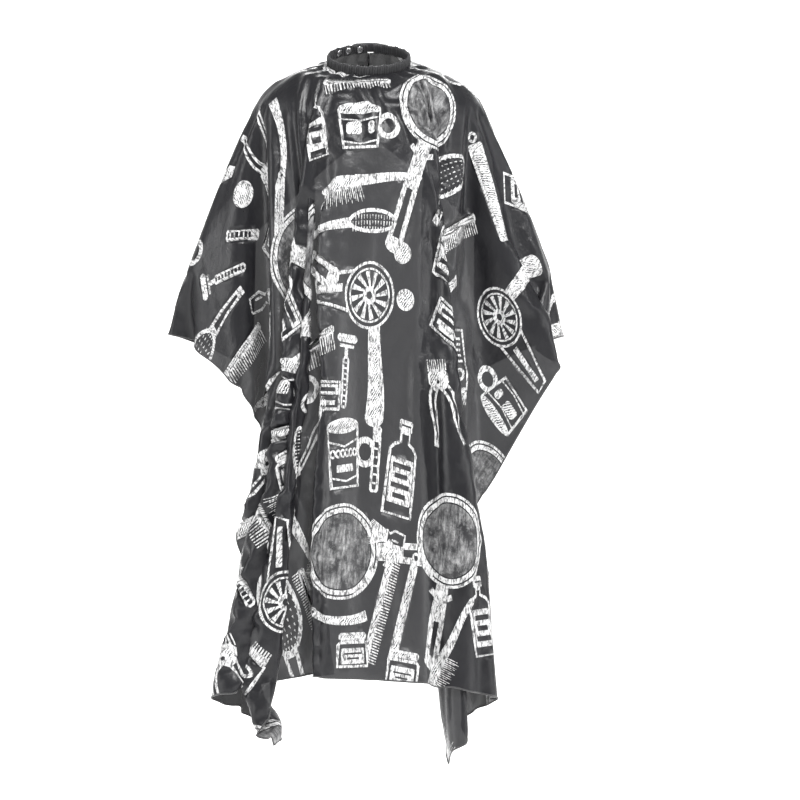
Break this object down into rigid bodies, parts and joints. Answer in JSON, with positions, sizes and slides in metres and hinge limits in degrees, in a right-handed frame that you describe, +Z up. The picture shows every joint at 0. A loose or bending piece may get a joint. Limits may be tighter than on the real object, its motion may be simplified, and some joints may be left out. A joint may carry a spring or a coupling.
{
  "type": "barber cape",
  "caption": "Sleeveless hair-cutting cape: a hemmed printed sheet gathered onto an elastic neckband that closes at the nape with snaps.",
  "frame": {"origin": "middle of the neckband ring, where the wearer's neck passes through", "axes": "+Z up along the standing wearer, -Y is the wearer's front, +X is the wearer's left"},
  "size_m": [0.7018, 0.3455, 1.2258],
  "materials": {
    "cape_fabric": "glossy thin polyester taffeta, slightly see-through, with a white print",
    "print_white": "matte white ink printed on the taffeta",
    "hem_thread": "overlocked black thread and rolled cloth",
    "band_fabric": "ruched black taffeta",
    "elastic": "woven black elastic, matte",
    "tape": "woven black stiffening tape",
    "snap_metal": "polished nickel plate"
  },
  "bodies": {
    "cape": {"cape_panel": "cape_fabric", "hem_front": "hem_thread", "hem_left": "hem_thread", "hem_right": "hem_thread", "hem_back_left": "hem_thread", "hem_back_right": "hem_thread", "slit_binding_left": "hem_thread", "slit_binding_right": "hem_thread", "neckband_casing": "band_fabric", "neck_elastic": "elastic", "stud_tape": "tape", "snap_stud_1": "snap_metal", "snap_post_1": "snap_metal", "snap_stud_2": "snap_metal", "snap_post_2": "snap_metal", "snap_stud_3": "snap_metal", "snap_post_3": "snap_metal"},
    "closing_tab": {"snap_tab": "band_fabric", "tab_tape": "tape", "snap_cap": "snap_metal", "snap_socket": "snap_metal"}
  },
  "joints": [
    {"name": "tab_hinge", "type": "hinge", "parent": "cape", "child": "closing_tab", "pos_m": [0.02818, 0.05928, 0.02764], "axis": [0, 0.4226, -0.9063], "range_deg": [0, 110]}
  ]
}
